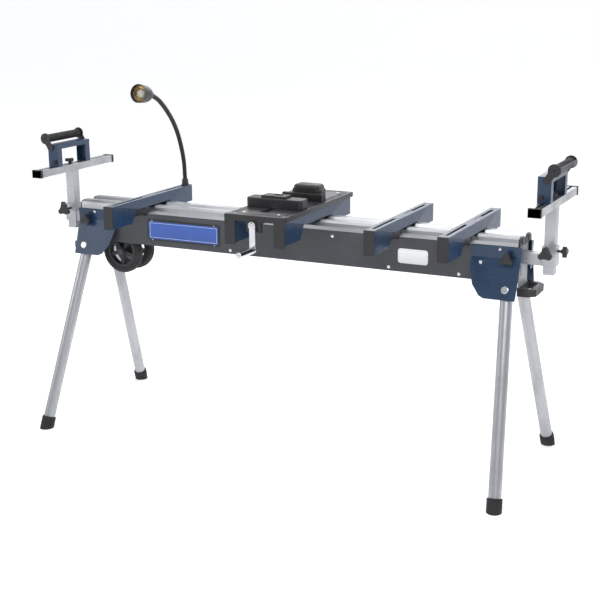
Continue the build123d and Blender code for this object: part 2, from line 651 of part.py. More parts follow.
def saw_bracket(x):
    """Slotted channel that a saw is bolted to, with the lever's pin and the clamp shoe."""
    half = BRACKET_WIDTH / 2
    flare = wall_flare(half - 0.4)
    bracket = channel_shell(BRACKET_WIDTH) + flare + mirror(flare, about=Plane.YZ)
    for y in SLOT_CENTRES:
        slot = extrude(Rot(0, 0, 90) * SlotOverall(SLOT_LENGTH, SLOT_WIDTH), amount=12)
        bracket -= Pos(0, y, BRACKET_TOP - 9) * slot
    bracket += rod((-half, LEVER_PIVOT_Y, LEVER_PIVOT_Z), (half, LEVER_PIVOT_Y, LEVER_PIVOT_Z), LEVER_PIN)
    pad = block(-half + 1, half - 1, -60, 60, RAIL_TOP + SLIDE_GAP, BRACKET_TOP - 1)
    bracket += pad
    return Pos(x, 0, 0) * bracket


def bracket_cap(x, width):
    """Moulded cap that closes the front end of a channel."""
    half = width / 2
    edge = half + 0.4
    cap = block(x - edge, x + edge, BRACKET_FRONT - 5, BRACKET_FRONT, BRACKET_BASE - 0.5, BRACKET_TOP + 0.5)
    cap = fillet(cap.edges().filter_by(Axis.Y), 1.5)
    plug = half - BRACKET_SHEET - 0.1
    ceiling = BRACKET_TOP - BRACKET_SHEET - 0.1
    return cap + block(x - plug, x + plug, BRACKET_FRONT - 1, BRACKET_FRONT + 8, BRACKET_BASE + 2, ceiling)


def clamp_lever(x):
    """Lever inside a bracket whose nose grips the front of the rail."""
    half = 10.0
    outline = [(-264, 728), (-262, 736), (-222, 752), (-212, 764), (-198, 764), (-110, 762), (-76, 762),
               (-64, 756), (-64, 742), (-80, 734), (-112, 742), (-196, 741), (-216, 738), (-250, 727)]
    lever = side_profile(outline, -half, half)
    lever -= rod((-half - 1, LEVER_PIVOT_Y, LEVER_PIVOT_Z), (half + 1, LEVER_PIVOT_Y, LEVER_PIVOT_Z), LEVER_PIN + 0.06)
    return Pos(x, 0, 0) * lever


for name, x in BRACKET_X.items():
    save(f"saw_bracket_{name}", saw_bracket(x))
    save(f"bracket_cap_{name}", bracket_cap(x, BRACKET_WIDTH))
    save(f"clamp_lever_{name}", clamp_lever(x))


# ---- vise ---------------------------------------------------------------
def vise_plate():
    """Steel bed plate with a slotted border and a guide slot for the moving jaw."""
    plate = block(VISE_LEFT, VISE_RIGHT, VISE_FRONT, VISE_REAR, VISE_TOP - VISE_SHEET, VISE_TOP)
    skirt_depth = 9.0
    plate += block(VISE_LEFT, VISE_LEFT + 3, VISE_FRONT, VISE_REAR, VISE_TOP - VISE_SHEET - skirt_depth, VISE_TOP)
    plate += block(VISE_RIGHT - 3, VISE_RIGHT, VISE_FRONT, VISE_REAR, VISE_TOP - VISE_SHEET - skirt_depth, VISE_TOP)
    plate -= block(SCREW_X - JAW_SLOT, SCREW_X + JAW_SLOT, VISE_FRONT + 55, 45, VISE_TOP - 30, VISE_TOP + 1)
    teeth = []
    side_count = int((VISE_REAR - VISE_FRONT - 2 * TOOTH_LENGTH) / TOOTH_PITCH)
    cut_z = (VISE_TOP - 3.0, VISE_TOP + 1)
    for index in range(side_count):
        y = VISE_FRONT + TOOTH_LENGTH + (index + 0.5) * TOOTH_PITCH
        for x in (VISE_LEFT + 6, VISE_RIGHT - 6 - TOOTH_LENGTH):
            teeth.append(block(x, x + TOOTH_LENGTH, y - TOOTH_WIDTH / 2, y + TOOTH_WIDTH / 2, *cut_z))
    front_count = int((VISE_RIGHT - VISE_LEFT - 2 * TOOTH_LENGTH - 12) / TOOTH_PITCH)
    for index in range(front_count):
        x = VISE_LEFT + TOOTH_LENGTH + 11 + (index + 0.5) * TOOTH_PITCH
        for y in (VISE_FRONT + 4, VISE_REAR - 4 - TOOTH_LENGTH):
            teeth.append(block(x - TOOTH_WIDTH / 2, x + TOOTH_WIDTH / 2, y, y + TOOTH_LENGTH, *cut_z))
    return plate - teeth


def vise_channels():
    """The two notched channels under the bed plate."""
    drop = VISE_TOP - VISE_SHEET - BRACKET_TOP
    channels = []
    for x in (VISE_LEFT + BRACKET_WIDTH / 2 + 3.2, VISE_RIGHT - BRACKET_WIDTH / 2 - 3.2):
        flare = wall_flare(BRACKET_WIDTH / 2 - 0.4)
        channel = channel_shell(BRACKET_WIDTH) + flare
        spacer = block(-BRACKET_WIDTH / 2 + 4, BRACKET_WIDTH / 2 - 4, -200, 190, BRACKET_TOP - 0.5, BRACKET_TOP + drop)
        pad = block(-BRACKET_WIDTH / 2 + BRACKET_SHEET, BRACKET_WIDTH / 2 - BRACKET_SHEET, -60, 60,
                    RAIL_TOP, BRACKET_TOP - BRACKET_SHEET + 0.1)
        channels.append(Pos(x, 0, 0) * (channel + spacer + pad))
    return channels


def vise_front_frame():
    """Moulded front: a cap on each channel joined by a beam that carries the screw."""
    y0, y1 = BRACKET_FRONT - 7, BRACKET_FRONT
    left, right = VISE_LEFT - 1, VISE_RIGHT + 1
    post = 36.0
    frame = block(left, right, y0, y1, 794, VISE_TOP + 0.5)
    frame += block(left, right, y1, VISE_FRONT, 806.5, VISE_TOP + 0.5)
    frame += block(left, left + post, y0, y1, 718, VISE_TOP)
    frame += block(right - post, right, y0, y1, 718, VISE_TOP)
    frame += block(SCREW_X - 26, SCREW_X + 26, y0, y1, 762, 800)
    frame -= rod((SCREW_X, -320, SCREW_Z), (SCREW_X, -250, SCREW_Z), SCREW_RADIUS + 0.08)
    return frame


def vise_crank():
    """Screw, crank arm and hand grip."""
    arm_y = BRACKET_FRONT - 12
    screw = rod((SCREW_X, arm_y - 8, SCREW_Z), (SCREW_X, 60, SCREW_Z), SCREW_RADIUS)
    screw += rod((SCREW_X, arm_y - 9, SCREW_Z), (SCREW_X, arm_y + 3, SCREW_Z), 12.0)
    arm = block(SCREW_X - 10, SCREW_X + 10, arm_y - 6, arm_y, SCREW_Z - CRANK_THROW, SCREW_Z)
    arm += rod((SCREW_X, arm_y - 6, SCREW_Z - CRANK_THROW), (SCREW_X, arm_y, SCREW_Z - CRANK_THROW), 10.0)
    spindle = rod((SCREW_X, arm_y - 100, SCREW_Z - CRANK_THROW), (SCREW_X, arm_y, SCREW_Z - CRANK_THROW), 4.5)
    grip = rod((SCREW_X, arm_y - 96, SCREW_Z - CRANK_THROW), (SCREW_X, arm_y - 10, SCREW_Z - CRANK_THROW), 10.5)
    grip = fillet(grip.edges().filter_by(GeomType.CIRCLE), 4.0)
    grip -= rod((SCREW_X, arm_y - 120, SCREW_Z - CRANK_THROW), (SCREW_X, arm_y + 5, SCREW_Z - CRANK_THROW), 4.6)
    return screw + arm + spindle, grip


def moving_jaw():
    """Long front jaw with the nut that runs on the screw."""
    x0, x1 = -76.0, 117.0
    jaw = block(x0, x1, -156, -100, JAW_BASE, JAW_BASE + 30)
    jaw = fillet(jaw.edges().filter_by(Axis.Z), 12.0)
    jaw = fillet(jaw.edges().group_by(Axis.Z)[-1], 4.0)
    crown = block(-26, 58, -148, -104, JAW_BASE + 20, JAW_BASE + 38)
    jaw += fillet(crown.edges().group_by(Axis.Z)[-1], 3.0)
    jaw -= block(10, 40, -134, -114, JAW_BASE + 32, JAW_BASE + 40)
    nut_half = JAW_SLOT - SLIDE_GAP
    jaw += block(SCREW_X - nut_half, SCREW_X + nut_half, -150, -106, 770, JAW_BASE + 2)
    jaw -= rod((SCREW_X, -320, SCREW_Z), (SCREW_X, 80, SCREW_Z), SCREW_RADIUS + 0.3)
    return jaw


def fixed_jaw():
    """Tall domed rear jaw."""
    jaw = block(2, 94, 14, 74, VISE_TOP, VISE_TOP + 50)
    jaw = fillet(jaw.edges().filter_by(Axis.Z), 16.0)
    jaw = fillet(jaw.edges().group_by(Axis.Z)[-1], 11.0)
    collar = block(-4, 100, 18, 70, VISE_TOP, VISE_TOP + 36)
    collar = fillet(collar.edges().filter_by(Axis.Z), 14.0)
    collar = fillet(collar.edges().group_by(Axis.Z)[-1], 4.0)
    face_plate = block(-30, 112, 6, 22, VISE_TOP, VISE_TOP + 24)
    return jaw + collar + fillet(face_plate.edges().group_by(Axis.Z)[-1], 2.0)


save("vise_plate", vise_plate())
save("vise_channels", *vise_channels())
save("vise_front_frame", vise_front_frame())
save("vise_crank", *vise_crank())
save("vise_jaw_moving", moving_jaw())
save("vise_jaw_fixed", fixed_jaw())


# ---- lamp ---------------------------------------------------------------
def lamp():
    """Socket on the left bracket, flexible neck and bell-shaped shade."""
    x = BRACKET_X["left"]
    base_z = BRACKET_TOP
    socket = rod((x, LAMP_Y, base_z), (x, LAMP_Y, base_z + 22), 11.0)
    socket += rod((x, LAMP_Y, base_z), (x, LAMP_Y, base_z + 5), 14.0)
    route = [(x, LAMP_Y, base_z + 22), (x, 186, 900), (x, 140, 1015), (x, 52, 1104), (x, *LAMP_TIP)]
    path = FilletPolyline(*route, radius=[250, 220, 220])
    start = Plane(origin=route[0], z_dir=path % 0)
    neck = sweep(start * Circle(NECK_RADIUS), path=path)
    shade = lamp_shade()
    return socket, neck - socket - shade, shade


def lamp_frame():
    """Plane at the end of the neck whose Z runs out through the shade."""
    aim = (0, -cos(radians(LAMP_TILT)), sin(radians(LAMP_TILT)))
    return Plane(origin=(BRACKET_X["left"], *LAMP_TIP), z_dir=aim, x_dir=(1, 0, 0))


def lamp_shade():
    """Bell: a round collar that widens to an open mouth."""
    outer = [(0, 0), (12, 0), (13, 12), (22, 22), (29, 38), (31, 62), (31, 78)]
    inner = [(28.5, 78), (28.5, 62), (26.5, 39), (20, 26), (0, 20)]
    section = make_face(Plane.XZ * Polyline(*(outer + inner), close=True))
    return lamp_frame() * revolve(section, Axis.Z)


def lamp_bulb():
    """Reflector bulb in the shade."""
    outline = [(0, 20.5), (8, 24), (10, 36), (20, 52), (24, 66), (20, 69), (0, 70)]
    section = make_face(Plane.XZ * Polyline(*outline, close=True))
    return lamp_frame() * revolve(section, Axis.Z)


save("lamp", *lamp())
save("lamp_bulb", lamp_bulb())
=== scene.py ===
import json
from math import cos, pi, radians, sin

import bmesh
import bpy
from mathutils import Matrix, Vector


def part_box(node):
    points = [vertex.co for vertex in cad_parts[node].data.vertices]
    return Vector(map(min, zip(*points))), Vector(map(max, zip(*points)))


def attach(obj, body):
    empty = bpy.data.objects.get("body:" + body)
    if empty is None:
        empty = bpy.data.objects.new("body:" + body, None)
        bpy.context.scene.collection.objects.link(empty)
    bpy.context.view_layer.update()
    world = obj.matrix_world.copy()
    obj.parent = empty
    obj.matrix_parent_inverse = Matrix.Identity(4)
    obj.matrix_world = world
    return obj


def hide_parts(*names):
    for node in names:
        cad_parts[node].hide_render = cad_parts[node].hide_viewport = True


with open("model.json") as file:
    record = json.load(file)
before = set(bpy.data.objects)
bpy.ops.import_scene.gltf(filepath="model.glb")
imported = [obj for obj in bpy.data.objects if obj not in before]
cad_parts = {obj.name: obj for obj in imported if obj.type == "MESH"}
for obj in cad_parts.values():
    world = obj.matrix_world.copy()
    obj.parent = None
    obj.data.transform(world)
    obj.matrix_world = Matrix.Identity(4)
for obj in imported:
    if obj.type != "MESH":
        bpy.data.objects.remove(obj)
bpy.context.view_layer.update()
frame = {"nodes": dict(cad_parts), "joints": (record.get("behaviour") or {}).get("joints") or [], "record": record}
JOINTS = {joint["name"]: joint for joint in frame["joints"]}
NODE_SLOT = {part["node"]: part["material_slot"] for part in frame["record"]["subparts"]}
SIDES = {"left": -1, "right": 1}
FACES = {"front": -1, "rear": 1}

# ---- camera, floor and light ---------------------------------------------
CAMERA_PLACE = (1.742, -3.407, 1.507)
CAMERA_PITCH, CAMERA_YAW, CAMERA_ROLL = radians(75.05), radians(26.38), -0.0074
CAMERA_LENS = 72.46


def make_camera():
    data = bpy.data.cameras.new("camera")
    data.lens, data.sensor_width = CAMERA_LENS, 36.0
    data.clip_end = 200.0
    camera = bpy.data.objects.new("camera", data)
    turn = Matrix.Rotation(CAMERA_YAW, 4, "Z") @ Matrix.Rotation(CAMERA_PITCH, 4, "X")
    camera.matrix_world = Matrix.Translation(CAMERA_PLACE) @ turn @ Matrix.Rotation(CAMERA_ROLL, 4, "Z")
    bpy.context.scene.collection.objects.link(camera)
    bpy.context.scene.camera = camera


def area_light(name, place, target, size, power, tint=(1, 1, 1)):
    data = bpy.data.lights.new(name, "AREA")
    data.shape, data.size, data.size_y = "RECTANGLE", size[0], size[1]
    data.energy, data.color = power, tint
    lamp = bpy.data.objects.new(name, data)
    aim = (Vector(target) - Vector(place)).to_track_quat("-Z", "Y")
    lamp.matrix_world = Matrix.Translation(place) @ aim.to_matrix().to_4x4()
    bpy.context.scene.collection.objects.link(lamp)


def make_lights():
    world = bpy.data.worlds.new("studio")
    bpy.context.scene.world = world
    world.use_nodes = True
    world.node_tree.nodes["Background"].inputs["Color"].default_value = (0.93, 0.95, 1.0, 1)
    world.node_tree.nodes["Background"].inputs["Strength"].default_value = 0.62
    middle = (0, 0, 0.7)
    area_light("key", (2.2, -3.4, 3.4), middle, (2.6, 1.8), 64)
    area_light("fill", (-3.6, -2.2, 2.2), middle, (2.4, 2.0), 27)
    area_light("overhead", (0, 0.5, 3.3), middle, (3.6, 1.2), 40)
    area_light("back", (-1.0, 3.4, 2.4), middle, (3.0, 1.4), 24)
    bpy.context.scene.view_settings.view_transform = "Standard"


# ---- mesh helpers --------------------------------------------------------
def piece_from(name, verts, faces, body, slot, material, smooth=True, bevel=0.0):
    """A new mesh piece in the frame, finished and riding on its body."""
    mesh = bpy.data.meshes.new(name)
    mesh.from_pydata([tuple(v) for v in verts], [], faces)
    mesh.validate()
    work = bmesh.new()
    work.from_mesh(mesh)
    bmesh.ops.remove_doubles(work, verts=work.verts, dist=1e-6)
    bmesh.ops.recalc_face_normals(work, faces=work.faces)
    if bevel:
        sharp = [e for e in work.edges if len(e.link_faces) == 2 and e.calc_face_angle() > radians(30)]
        bmesh.ops.bevel(work, geom=sharp, offset=bevel, segments=2, profile=0.6, affect="EDGES",
                        clamp_overlap=True)
    work.to_mesh(mesh)
    work.free()
    obj = bpy.data.objects.new(name, mesh)
    bpy.context.scene.collection.objects.link(obj)
    if smooth:
        mesh.shade_smooth()
        mesh.set_sharp_from_angle(angle=radians(38))
    mesh.materials.append(material)
    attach(obj, body)
    return obj


def joined(parts):
    """Several (verts, faces) lists as one."""
    verts, faces = [], []
    for some_verts, some_faces in parts:
        start = len(verts)
        verts += some_verts
        faces += [tuple(i + start for i in face) for face in some_faces]
    return verts, faces


def lathe(profile, place, axis, segments=40, phase=0.0, scallop=None):
    """Turned shape: (distance along the axis, radius) pairs, from `place` along `axis`."""
    turn = Vector(axis).to_track_quat("Z", "Y").to_matrix()
    verts, faces = [], []
    for along, radius in profile:
        for step in range(segments):
            angle = phase + 2 * pi * step / segments
            reach = radius if scallop is None else scallop(angle, radius, along)
            verts.append(Vector(place) + turn @ Vector((reach * cos(angle), reach * sin(angle), along)))
    for ring in range(len(profile) - 1):
        for step in range(segments):
            a, b = ring * segments + step, ring * segments + (step + 1) % segments
            faces.append((a, b, b + segments, a + segments))
    for ring, flip in ((0, True), (len(profile) - 1, False)):
        if profile[ring][1] > 0:
            loop = [ring * segments + step for step in range(segments)]
            faces.append(tuple(reversed(loop)) if flip else tuple(loop))
    return verts, faces


def closed_lathe(profile, place, axis, segments=40):
    """Turned ring whose profile closes on itself."""
    verts, faces = lathe(profile + profile[:1], place, axis, segments)
    return verts, faces[:len(profile) * segments]


def slab(low, high):
    """Rectangular block; its edges are rounded by the piece's bevel."""
    (x0, y0, z0), (x1, y1, z1) = low, high
    verts = [Vector(p) for p in ((x0, y0, z0), (x1, y0, z0), (x1, y1, z0), (x0, y1, z0),
                                 (x0, y0, z1), (x1, y0, z1), (x1, y1, z1), (x0, y1, z1))]
    return verts, [(0, 3, 2, 1), (4, 5, 6, 7), (0, 1, 5, 4), (1, 2, 6, 5), (2, 3, 7, 6), (3, 0, 4, 7)]


def smooth_path(points, rounds=5):
    """Corner cutting: a quadratic curve that keeps both ends."""
    points = [Vector(p) for p in points]
    for _ in range(rounds):
        cut = [points[0]]
        for a, b in zip(points, points[1:]):
            cut += [a.lerp(b, 0.25), a.lerp(b, 0.75)]
        points = cut + [points[-1]]
    return points


def ribbed_tube(path, radius, depth, pitch, segments=20, per_rib=6):
    """Tube along a path with raised rings, evenly spaced by length."""
    lengths = [0.0]
    for a, b in zip(path, path[1:]):
        lengths.append(lengths[-1] + (b - a).length)
    steps = round(lengths[-1] / pitch) * per_rib
    verts, faces, at = [], [], 0
    for step in range(steps + 1):
        wanted = lengths[-1] * step / steps
        while at < len(path) - 2 and lengths[at + 1] < wanted:
            at += 1
        share = (wanted - lengths[at]) / max(lengths[at + 1] - lengths[at], 1e-9)
        centre = path[at].lerp(path[at + 1], share)
        along = (path[at + 1] - path[at]).normalized()
        across = Vector((1, 0, 0))
        up = along.cross(across).normalized()
        swell = radius - depth * (0.5 + 0.5 * cos(2 * pi * step / per_rib)) ** 2
        for turn in range(segments):
            angle = 2 * pi * turn / segments
            verts.append(centre + swell * (cos(angle) * across + sin(angle) * up))
    for ring in range(steps):
        for turn in range(segments):
            a, b = ring * segments + turn, ring * segments + (turn + 1) % segments
            faces.append((a, b, b + segments, a + segments))
    faces.append(tuple(reversed(range(segments))))
    faces.append(tuple(steps * segments + turn for turn in range(segments)))
    return verts, faces


# ---- materials -----------------------------------------------------------
class Finish:
    """A procedural material: its nodes are wired by short calls."""

    def __init__(self, name, metallic=0.0, **shader):
        self.material = bpy.data.materials.new(name)
        self.material.use_nodes = True
        self.tree = self.material.node_tree
        self.shader = self.tree.nodes["Principled BSDF"]
        self.shader.inputs["Metallic"].default_value = metallic
        for socket, value in shader.items():
            self.shader.inputs[socket.replace("_", " ")].default_value = value
        self.where = self.node("ShaderNodeTexCoord").outputs["Object"]
        self.normal = None

    def node(self, kind, **settings):
        made = self.tree.nodes.new(kind)
        for key, value in settings.items():
            setattr(made, key, value)
        return made

    def feed(self, socket, value):
        if isinstance(value, bpy.types.NodeSocket):
            self.tree.links.new(value, socket)
        else:
            socket.default_value = value

    def stretched(self, scale):
        mapping = self.node("ShaderNodeMapping")
        self.feed(mapping.inputs["Vector"], self.where)
        mapping.inputs["Scale"].default_value = scale
        return mapping.outputs["Vector"]

    def noise(self, scale, detail=4.0, roughness=0.55, stretch=(1, 1, 1)):
        made = self.node("ShaderNodeTexNoise")
        self.feed(made.inputs["Vector"], self.stretched(stretch))
        made.inputs["Scale"].default_value = scale
        made.inputs["Detail"].default_value = detail
        made.inputs["Roughness"].default_value = roughness
        return made.outputs["Fac"]

    def cells(self, scale):
        made = self.node("ShaderNodeTexVoronoi", feature="SMOOTH_F1")
        self.feed(made.inputs["Vector"], self.where)
        made.inputs["Scale"].default_value = scale
        return made.outputs["Distance"]

    def fit(self, value, low, high, to_low=0.0, to_high=1.0):
        made = self.node("ShaderNodeMapRange", interpolation_type="SMOOTHSTEP")
        self.feed(made.inputs["Value"], value)
        for socket, number in zip(("From Min", "From Max", "To Min", "To Max"), (low, high, to_low, to_high)):
            made.inputs[socket].default_value = number
        return made.outputs["Result"]

    def math(self, operation, a, b):
        made = self.node("ShaderNodeMath", operation=operation)
        self.feed(made.inputs[0], a)
        self.feed(made.inputs[1], b)
        return made.outputs[0]

    def mix(self, share, a, b):
        made = self.node("ShaderNodeMix", data_type="RGBA")
        self.feed(made.inputs["Factor"], share)
        for socket, value in ((made.inputs[6], a), (made.inputs[7], b)):
            self.feed(socket, value if isinstance(value, bpy.types.NodeSocket) else (*value, 1))
        return made.outputs[2]

    def soften(self, radius):
        """Rounds the look of sharp edges."""
        made = self.node("ShaderNodeBevel", samples=4)
        made.inputs["Radius"].default_value = radius
        self.normal = made.outputs["Normal"]

    def edges(self):
        """1 on sharp edges, where scuffing and a painted highlight are laid; 0 elsewhere."""
        geometry = self.node("ShaderNodeNewGeometry")
        dot = self.node("ShaderNodeVectorMath", operation="DOT_PRODUCT")
        self.feed(dot.inputs[0], self.normal)
        self.feed(dot.inputs[1], geometry.outputs["Normal"])
        return self.fit(dot.outputs["Value"], 0.97, 0.8)

    def bump(self, height, strength, distance=0.0004):
        made = self.node("ShaderNodeBump")
        made.inputs["Strength"].default_value = strength
        made.inputs["Distance"].default_value = distance
        self.feed(made.inputs["Height"], height)
        if self.normal:
            self.feed(made.inputs["Normal"], self.normal)
        self.normal = made.outputs["Normal"]

    def finish(self, colour, roughness):
        self.feed(self.shader.inputs["Base Color"], colour)
        self.feed(self.shader.inputs["Roughness"], roughness)
        if self.normal:
            self.feed(self.shader.inputs["Normal"], self.normal)
        return self.material


def dusted(look, colour, dust, low=0.56, high=0.8, share=0.35):
    """Faint handling marks and dust over a colour."""
    return look.mix(look.fit(look.noise(9, 6, 0.65), low, high, 0, share), colour, dust)


def paint(name, colour, dust_wear_and_highlight, rough, coat=0.0, edge=0.5, metallic=0.0):
    """Sprayed paint: orange peel, small shade changes, and a lighter edge mark that is partly scuffs and partly a
    painted highlight.
    """
    look = Finish(name, metallic=metallic, Coat_Weight=coat, Coat_Roughness=0.12)
    look.soften(0.0011)
    # Edge mark: partly scuffs, partly a painted highlight along sharp edges.
    wear_and_highlight_mask = look.math("MULTIPLY", look.edges(), look.fit(look.noise(85, 6, 0.7), 0.46, 0.66, 0, edge))
    light = tuple(min(1.0, c * 1.25 + 0.004) for c in colour)
    base = look.mix(look.fit(look.noise(5, 4), 0.35, 0.7), colour, light)
    # Dust, then the lighter edge mark (scuffs and painted highlight) over the base colour.
    base = look.mix(wear_and_highlight_mask, dusted(look, base, dust_wear_and_highlight, share=0.07), dust_wear_and_highlight)
    rub = look.noise(40, 5, 0.6, (1, 5, 5))
    look.bump(look.noise(650, 2, 0.5), 0.22, 0.0002)
    return look.finish(base, look.fit(rub, 0.3, 0.75, rough * 0.75, rough * 1.35))


def metal(name, colour, dark, rough, stretch=(1, 1, 1), grain=0.12, streak=(1, 1, 1)):
    """Bare or anodised metal: drawn lines along one direction and dull patches."""
    look = Finish(name, metallic=1.0)
    look.soften(0.0008)
    lines = look.noise(420, 3, 0.6, stretch)
    dull = look.noise(12, 5, 0.6, streak)
    base = look.mix(look.fit(dull, 0.35, 0.72), colour, dark)
    base = look.mix(look.fit(lines, 0.35, 0.7, 0, 0.35), base, tuple(c * 0.62 for c in colour))
    look.bump(lines, grain, 0.0003)
    return look.finish(base, look.fit(dull, 0.3, 0.75, rough * 0.8, rough * 1.3))


def plastic(name, colour, rough, texture=900, strength=0.3, dust=0.12):
    """Moulded plastic: fine spark-eroded grain, lighter edges that are partly rubbing marks and partly a painted
    highlight, a little dust.
    """
    look = Finish(name)
    look.soften(0.0012)
    # Lighter edge tone: partly rubbing marks, partly a painted highlight.
    pale_rub_and_highlight = tuple(c + 0.045 for c in colour)
    rubbed_and_highlit_edges = look.math("MULTIPLY", look.edges(), look.fit(look.noise(60, 5), 0.4, 0.65, 0, 0.6))
    base = look.mix(rubbed_and_highlit_edges, dusted(look, colour, tuple(c + 0.09 for c in colour), share=dust), pale_rub_and_highlight)
    look.bump(look.cells(texture), strength, 0.0002)
    return look.finish(base, look.fit(look.noise(25, 5), 0.3, 0.7, rough * 0.85, rough * 1.2))


def bordered(name, colour, border, node, inset, line, rough):
    """Printed sheet with nothing on it but a thin outline near its edge, and painted shade darkening it towards
    the bottom.
    """
    low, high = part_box(node)
    look = Finish(name, Coat_Weight=0.5, Coat_Roughness=0.1)
    split = look.node("ShaderNodeSeparateXYZ")
    look.feed(split.inputs[0], look.where)
    gap = None
    for axis in ("X", "Z"):
        index = "XYZ".index(axis)
        middle, half = (low[index] + high[index]) / 2, (high[index] - low[index]) / 2
        off = look.math("ABSOLUTE", look.math("SUBTRACT", split.outputs[axis], middle), 0.0)
        reach = look.math("SUBTRACT", half, off)
        gap = reach if gap is None else look.math("MINIMUM", gap, reach)
    band = look.math("COMPARE", gap, inset)
    band.node.inputs[2].default_value = line / 2
    # Painted shade: the sheet darkens towards its bottom edge.
    shade = look.mix(look.fit(split.outputs["Z"], low.z, high.z), tuple(c * 0.8 for c in colour), colour)
    look.bump(look.noise(500, 2), 0.05)
    base = look.mix(band, dusted(look, shade, (0.7, 0.7, 0.7), share=0.06), border)
    return look.finish(base, look.fit(look.noise(30, 4), 0.3, 0.7, rough * 0.8, rough * 1.2))


# Navy paint, and the light blue-grey used for its dust, scuffs and painted edge highlight.
NAVY, WEAR_AND_HIGHLIGHT_BLUE = (0.007, 0.029, 0.072), (0.20, 0.23, 0.27)
LOOKS = {
    "anodised": metal("anodised_rail", (0.50, 0.51, 0.525), (0.38, 0.39, 0.405), 0.36, (0.02, 1, 1), 0.16,
                      (0.2, 1, 1)),
    "zinc_tube": metal("leg_tube_steel", (0.47, 0.48, 0.495), (0.36, 0.37, 0.385), 0.40, (1, 1, 0.03), 0.08,
                       (1, 1, 0.3)),
    "silver_paint": paint("silver_paint", (0.40, 0.41, 0.425), (0.35, 0.35, 0.35), 0.36, edge=0.35,
                          metallic=0.55),
    "graphite_paint": paint("graphite_paint", (0.038, 0.042, 0.048), (0.20, 0.20, 0.21), 0.38, edge=0.4),
    "grey_paint": paint("grey_paint", (0.32, 0.33, 0.34), (0.5, 0.5, 0.5), 0.42, edge=0.4),
    "blue_paint": paint("blue_paint", NAVY, WEAR_AND_HIGHLIGHT_BLUE, 0.34, coat=0.2, edge=0.55),
    "black_paint": paint("black_paint", (0.022, 0.022, 0.024), (0.16, 0.16, 0.16), 0.4, edge=0.45),
    "black_plastic": plastic("black_plastic", (0.017, 0.017, 0.018), 0.46),
    "black_rubber": plastic("black_rubber", (0.014, 0.014, 0.015), 0.72, texture=500, strength=0.45,
                            dust=0.25),
    "badge_blue": bordered("badge_blue", (0.015, 0.085, 0.42), (0.5, 0.6, 0.8), "badge_plate", 0.005, 0.0012,
                           0.2),
    "label_white": bordered("label_white", (0.86, 0.86, 0.85), (0.55, 0.56, 0.58), "blank_label", 0.004,
                            0.0008, 0.4),
    "bright_steel": metal("bright_steel", (0.78, 0.79, 0.80), (0.62, 0.63, 0.64), 0.16, (1, 1, 1), 0.03),
}


def bulb_glass():
    look = Finish("lamp_glass", Transmission_Weight=0.6, IOR=1.5)
    frost = look.noise(160, 4)
    look.bump(frost, 0.15)
    return look.finish(look.mix(frost, (0.98, 0.95, 0.84), (0.86, 0.84, 0.76)),
                       look.fit(frost, 0.3, 0.7, 0.08, 0.25))


def gold_reflector():
    look = Finish("gold_reflector", metallic=1.0)
    dimples = look.cells(220)
    look.bump(dimples, 0.6, 0.0008)
    return look.finish(look.mix(look.noise(60, 3), (0.80, 0.72, 0.52), (0.60, 0.52, 0.36)),
                       look.fit(dimples, 0.0, 0.8, 0.12, 0.3))


LOOKS["lamp_glass"] = bulb_glass()
GOLD = gold_reflector()


def dress_nodes():
    """Every CAD node takes the finish of its slot."""
    for name, node in frame["nodes"].items():
        node.data.materials.clear()
        node.data.materials.append(LOOKS[NODE_SLOT[name]])


# ---- lamp ----------------------------------------------------------------
NECK_RISE = [(0.0, 0.022), (-0.004, 0.102), (-0.050, 0.217), (-0.138, 0.306), (-0.198, 0.334)]
SHADE_TILT = radians(8)


def make_lamp():
    low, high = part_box("lamp")
    x, y, z = (low.x + high.x) / 2, high.y - 0.014, low.z
    neck = [(x, y + dy, z + dz) for dy, dz in NECK_RISE]

    def knurl(angle, radius, along):
        return radius - 0.0005 * (along > 0.005) * (cos(16 * angle) > 0)

    socket = lathe([(0, 0), (0, 0.0138), (0.004, 0.0138), (0.0055, 0.0115), (0.018, 0.0112), (0.022, 0.0095),
                    (0.0225, 0)],
                   (x, y, z), (0, 0, 1), 48,
                   scallop=knurl)
    base = piece_from("lamp_socket", *socket, "bracket_left", "black_paint", LOOKS["black_paint"])
    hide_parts("lamp")
    tube = ribbed_tube(smooth_path(neck), 0.0079, 0.0016, 0.0042)
    piece_from("lamp_neck", *tube, "bracket_left", "black_plastic", LOOKS["black_plastic"])
    tip, aim = Vector(neck[-1]), Vector((0, -cos(SHADE_TILT), sin(SHADE_TILT)))
    outer = [(0, 0.0095), (0.001, 0.0118), (0.010, 0.0128), (0.013, 0.0150), (0.018, 0.0195),
             (0.024, 0.0235), (0.032, 0.0268),
             (0.042, 0.0290), (0.058, 0.0302), (0.072, 0.0306), (0.0765, 0.0309), (0.078, 0.0302)]
    inner = [(0.0765, 0.0290), (0.060, 0.0286), (0.042, 0.0272), (0.032, 0.0245), (0.024, 0.0190),
             (0.020, 0.0095)]
    piece_from("lamp_shade", *closed_lathe(outer + inner, tip, aim, 56), "bracket_left", "black_paint",
               LOOKS["black_paint"])
    bowl = [(0.0212, 0.0), (0.0222, 0.010), (0.027, 0.0190), (0.036, 0.0245), (0.052, 0.0272),
            (0.064, 0.0281),
            (0.064, 0.0276), (0.052, 0.0266), (0.036, 0.0238), (0.028, 0.0184), (0.0235, 0.009),
            (0.0232, 0.0)]
    piece_from("lamp_reflector", *lathe(bowl, tip, aim, 56), "bracket_left", "lamp_glass", GOLD)
    bulb = [(0.0235, 0.0), (0.024, 0.0065), (0.034, 0.0085), (0.042, 0.0125), (0.050, 0.0155),
            (0.058, 0.0160), (0.064, 0.0135), (0.067, 0.007), (0.068, 0)]
    glass = piece_from("lamp_bulb_glass", *lathe(bulb, tip, aim, 40), "bracket_left", "lamp_glass",
                       LOOKS["lamp_glass"])
    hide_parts("lamp_bulb")


# ---- wheels and rollers --------------------------------------------------
TYRE_BORE = 0.0571


